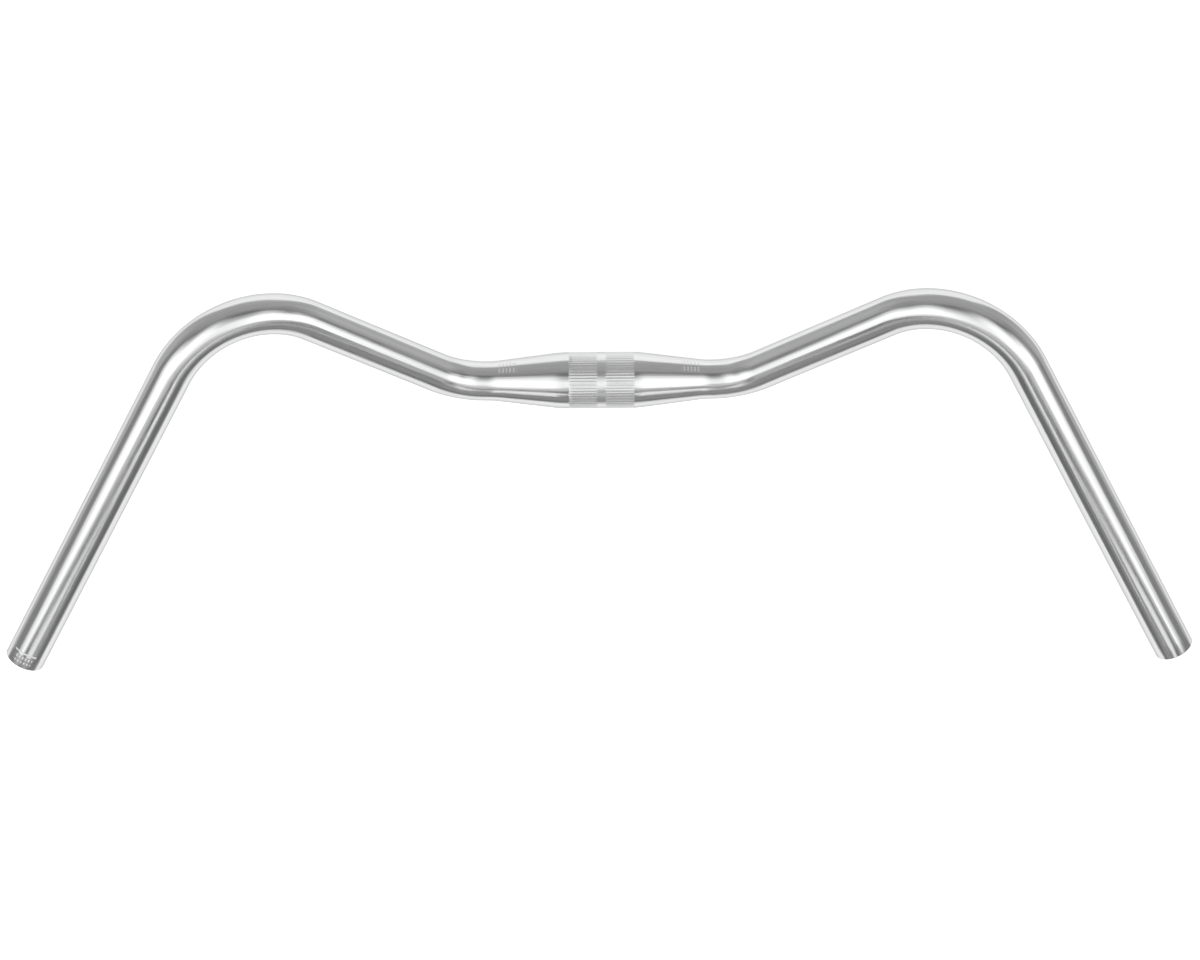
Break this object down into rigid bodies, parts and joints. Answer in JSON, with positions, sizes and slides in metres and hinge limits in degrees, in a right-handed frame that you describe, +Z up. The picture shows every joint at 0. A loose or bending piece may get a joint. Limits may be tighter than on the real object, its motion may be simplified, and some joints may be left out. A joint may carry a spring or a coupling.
{
  "type": "swept-back handlebar",
  "caption": "Swept-back bicycle handlebar: one hollow aluminium tube swelling to a knurled clamp zone, rising forward each side and bending back into long straight grips.",
  "frame": {"origin": "middle of the clamp zone, on the tube's axis", "axes": "+X along the clamp zone, +Y the way the wings point forward (the grips run back towards -Y), +Z up; the bar lies as it rests on a table, on the clamp zone and the rims of its two ends"},
  "size_m": [0.6724, 0.2073, 0.1011],
  "materials": {
    "satin_aluminium": "satin, finely brushed along the tube"
  },
  "bodies": {
    "root": {"handlebar": "satin_aluminium"}
  },
  "joints": []
}
